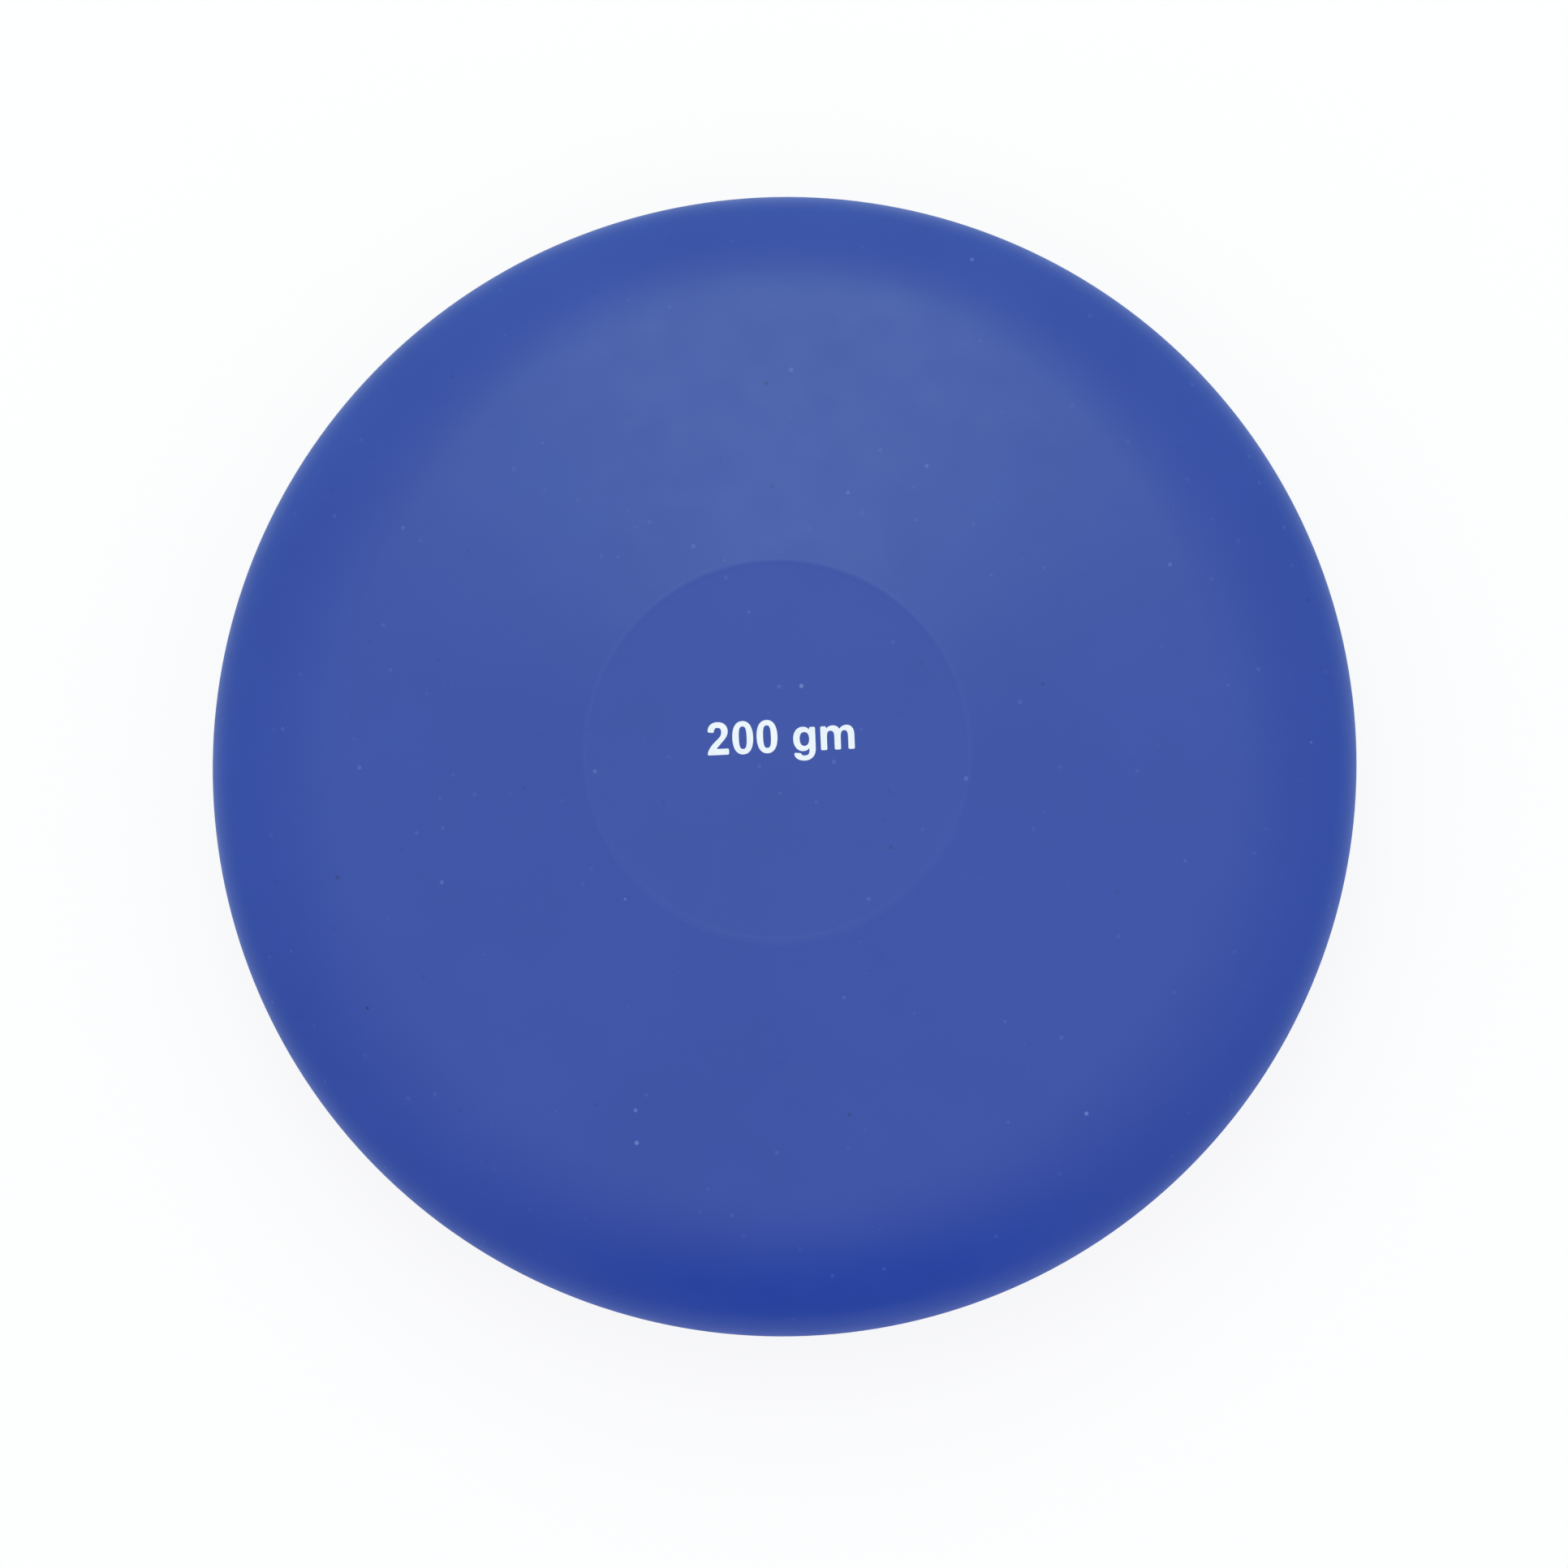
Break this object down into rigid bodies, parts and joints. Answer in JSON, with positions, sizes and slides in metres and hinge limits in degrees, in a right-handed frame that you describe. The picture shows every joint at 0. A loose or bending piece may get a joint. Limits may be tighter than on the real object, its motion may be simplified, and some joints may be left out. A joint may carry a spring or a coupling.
{
  "type": "discus",
  "caption": "Soft training discus: a round lens-shaped throwing implement with a flat in the middle of each face, straight sloping flanks and a rounded rim.",
  "frame": {"origin": "centre of the discus, in the middle plane where the two half shells meet", "axes": "+Z along the axis of revolution, out of the upper flat, which carries the weight mark; +Y towards the top of the mark's digits; +X along its line of text"},
  "size_m": [0.15, 0.15, 0.036],
  "materials": {
    "soft_pvc": "satin",
    "foam": "matte",
    "ballast_rubber": "matte",
    "grit": "matte"
  },
  "bodies": {
    "root": {"upper_shell": "soft_pvc", "lower_shell": "soft_pvc", "fill_plug": "soft_pvc", "upper_core": "foam", "lower_core": "foam", "ballast_ring": "ballast_rubber", "trim_fill": "grit"}
  },
  "joints": []
}
